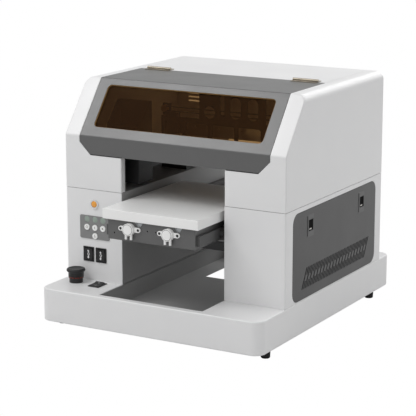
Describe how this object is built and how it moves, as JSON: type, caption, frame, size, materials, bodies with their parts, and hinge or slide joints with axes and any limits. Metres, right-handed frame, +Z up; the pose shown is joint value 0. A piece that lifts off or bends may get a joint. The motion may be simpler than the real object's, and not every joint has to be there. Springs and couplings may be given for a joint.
{
  "type": "flatbed UV printer",
  "caption": "Desktop flatbed UV printer: sliding, lifting bed in a channel under an X gantry with a print carriage, closed by a hinged windowed hood cover.",
  "frame": {"origin": "on the floor under the centre of the base", "axes": "+X to the viewer's right, +Y from the control side to the back, +Z up"},
  "size_m": [0.5203, 0.626, 0.514],
  "materials": {
    "white_enamel": "fine textured powder coat, white",
    "grey_liner": "powder coat, mid grey",
    "grey_enamel": "fine textured powder coat, dark grey",
    "black_enamel": "powder coat, satin black",
    "black_plastic": "moulded, fine spark texture",
    "white_plastic": "moulded, gloss",
    "bed_white": "flat milled plate, white coated",
    "amber_acrylic": "tinted cast acrylic",
    "steel": "ground and polished",
    "chrome": "bright plated ring",
    "orange_lens": "moulded lens, gloss",
    "green_lens": "unlit lamp lens",
    "keypad_grey": "printed overlay film",
    "rubber": "moulded rubber",
    "raw_aluminium": "extruded, clear anodised",
    "brass": "turned",
    "motor_black": "stepping motor body, black",
    "bottle": "blow moulded polyethylene",
    "circuit_green": "solder-masked circuit board",
    "zinc_sheet": "perforated power supply case"
  },
  "bodies": {
    "housing": {"base_shell": "white_enamel", "channel_liner": "grey_liner", "tower_shells": "white_enamel", "hood_shell": "white_enamel", "hood_rear_panel": "white_enamel", "lower_rear_panels": "white_enamel", "rubber_feet": "rubber", "cover_gasket": "rubber", "hinge_fixed_leaves": "steel", "left_side_panel": "grey_enamel", "keypad_plate": "keypad_grey", "indicator_lenses": "green_lens", "power_button_ring": "chrome", "switch_bezels": "black_plastic", "stop_base": "black_plastic", "y_rails": "black_enamel", "y_motor": "motor_black", "gantry_frame": "black_enamel", "x_beam": "raw_aluminium", "x_rail": "steel", "x_motor": "motor_black", "x_belt": "rubber", "ink_bottles": "bottle", "power_supply": "zinc_sheet", "control_board": "circuit_green", "power_inlet": "black_plastic", "fan_frame": "black_plastic"},
    "cover": {"front_cover": "grey_enamel", "cover_window": "amber_acrylic", "hinge_moving_leaves": "steel"},
    "side_panel": {"right_side_panel": "grey_enamel", "latch_plates": "black_plastic"},
    "front_latch": {"front_latch_button": "black_plastic"},
    "rear_latch": {"rear_latch_button": "black_plastic"},
    "left_key_body": {"left_key": "white_plastic"},
    "middle_key_body": {"middle_key": "white_plastic"},
    "right_key_body": {"right_key": "white_plastic"},
    "lower_key_body": {"lower_key": "white_plastic"},
    "power_button_body": {"power_button": "orange_lens"},
    "bed_rocker_body": {"bed_rocker": "black_plastic"},
    "lift_rocker_body": {"lift_rocker": "black_plastic"},
    "main_rocker_body": {"main_rocker": "black_plastic"},
    "stop_plunger_body": {"stop_plunger": "black_plastic"},
    "stop_head_body": {"stop_head": "black_plastic"},
    "y_screw_body": {"y_screw": "steel"},
    "bed_carriage": {"bed_box": "grey_liner", "bed_runners": "steel", "lift_motor": "motor_black", "pump_housings": "white_plastic"},
    "bed": {"bed_plate": "bed_white", "lift_posts": "steel"},
    "lift_nut": {"lift_rotor_nut": "brass"},
    "left_pump": {"left_pump_rotor": "white_plastic"},
    "right_pump": {"right_pump_rotor": "white_plastic"},
    "idler": {"idler_pulley": "brass"},
    "drive_pulley": {"motor_pulley": "brass"},
    "print_unit": {"print_carriage": "black_plastic", "print_head": "steel", "uv_lamp": "raw_aluminium"},
    "fan_wheel": {"fan_rotor": "black_plastic"}
  },
  "joints": [
    {"name": "bed_travel", "type": "slide", "parent": "housing", "child": "bed_carriage", "axis": [0, 1, 0], "range_m": [0, 0.29]},
    {"name": "bed_lift", "type": "slide", "parent": "bed_carriage", "child": "bed", "axis": [0, 0, 1], "range_m": [0, 0.016]},
    {"name": "lift_nut_spin", "type": "hinge", "parent": "bed_carriage", "child": "lift_nut", "pos_m": [0, -0.1425, 0.225], "axis": [0, 0, 1], "range_deg": [-1, 730]},
    {"name": "y_screw_spin", "type": "hinge", "parent": "housing", "child": "y_screw_body", "pos_m": [0, 0, 0.1852], "axis": [0, 1, 0], "range_deg": [-1, 5300]},
    {"name": "left_pump_spin", "type": "hinge", "parent": "bed_carriage", "child": "left_pump", "pos_m": [-0.0498, -0.297, 0.2337], "axis": [0, 1, 0], "continuous": true},
    {"name": "right_pump_spin", "type": "hinge", "parent": "bed_carriage", "child": "right_pump", "pos_m": [0.0419, -0.297, 0.2337], "axis": [0, 1, 0], "continuous": true},
    {"name": "carriage_travel", "type": "slide", "parent": "housing", "child": "print_unit", "axis": [1, 0, 0], "range_m": [0, 0.28]},
    {"name": "idler_spin", "type": "hinge", "parent": "housing", "child": "idler", "pos_m": [-0.193, 0.086, 0.4135], "axis": [0, 1, 0], "range_deg": [-1, 3400]},
    {"name": "drive_pulley_spin", "type": "hinge", "parent": "housing", "child": "drive_pulley", "pos_m": [0.166, 0.086, 0.4135], "axis": [0, 1, 0], "range_deg": [-1, 3400]},
    {"name": "cover_hinge", "type": "hinge", "parent": "housing", "child": "cover", "pos_m": [0, 0.037, 0.511], "axis": [-1, 0, 0], "range_deg": [0, 100]},
    {"name": "side_panel_tilt", "type": "hinge", "parent": "housing", "child": "side_panel", "pos_m": [0.26, 0.023, 0.0908], "axis": [0, 1, 0], "range_deg": [0, 25]},
    {"name": "front_latch_press", "type": "slide", "parent": "side_panel", "child": "front_latch", "axis": [-1, 0, 0], "range_m": [0, 0.002], "stiffness_N_per_m": 300, "springref_m": -0.002},
    {"name": "rear_latch_press", "type": "slide", "parent": "side_panel", "child": "rear_latch", "axis": [-1, 0, 0], "range_m": [0, 0.002], "stiffness_N_per_m": 300, "springref_m": -0.002},
    {"name": "left_key_press", "type": "slide", "parent": "housing", "child": "left_key_body", "axis": [0, 1, 0], "range_m": [0, 0.0008], "stiffness_N_per_m": 300, "springref_m": -0.002},
    {"name": "middle_key_press", "type": "slide", "parent": "housing", "child": "middle_key_body", "axis": [0, 1, 0], "range_m": [0, 0.0008], "stiffness_N_per_m": 300, "springref_m": -0.002},
    {"name": "right_key_press", "type": "slide", "parent": "housing", "child": "right_key_body", "axis": [0, 1, 0], "range_m": [0, 0.0008], "stiffness_N_per_m": 300, "springref_m": -0.002},
    {"name": "lower_key_press", "type": "slide", "parent": "housing", "child": "lower_key_body", "axis": [0, 1, 0], "range_m": [0, 0.0008], "stiffness_N_per_m": 300, "springref_m": -0.002},
    {"name": "power_button_press", "type": "slide", "parent": "housing", "child": "power_button_body", "axis": [0, 1, 0], "range_m": [0, 0.0025], "stiffness_N_per_m": 300, "springref_m": -0.002},
    {"name": "bed_rocker_tilt", "type": "hinge", "parent": "housing", "child": "bed_rocker_body", "pos_m": [-0.2047, -0.204, 0.1445], "axis": [1, 0, 0], "range_deg": [-7, 7], "stiffness_Nm_per_rad": 0.05},
    {"name": "lift_rocker_tilt", "type": "hinge", "parent": "housing", "child": "lift_rocker_body", "pos_m": [-0.1739, -0.204, 0.1445], "axis": [1, 0, 0], "range_deg": [-7, 7], "stiffness_Nm_per_rad": 0.05},
    {"name": "main_rocker_tilt", "type": "hinge", "parent": "housing", "child": "main_rocker_body", "pos_m": [-0.1645, -0.2395, 0.083], "axis": [1, 0, 0], "range_deg": [-14, 0]},
    {"name": "stop_press", "type": "slide", "parent": "housing", "child": "stop_plunger_body", "axis": [0, 0, -1], "range_m": [0, 0.004], "stiffness_N_per_m": 500, "springref_m": -0.004},
    {"name": "stop_twist", "type": "hinge", "parent": "stop_plunger_body", "child": "stop_head_body", "pos_m": [-0.219, -0.238, 0.1], "axis": [0, 0, 1], "range_deg": [-30, 0]},
    {"name": "fan_spin", "type": "hinge", "parent": "housing", "child": "fan_wheel", "pos_m": [-0.19, 0.24, 0.188], "axis": [0, 1, 0], "continuous": true}
  ],
  "couplings": [
    {"joint": "lift_nut_spin", "follows": "bed_lift", "rad_per_m": 785.4},
    {"joint": "y_screw_spin", "follows": "bed_travel", "rad_per_m": 314.16},
    {"joint": "idler_spin", "follows": "carriage_travel", "rad_per_m": 208.33},
    {"joint": "drive_pulley_spin", "follows": "carriage_travel", "rad_per_m": 208.33}
  ]
}
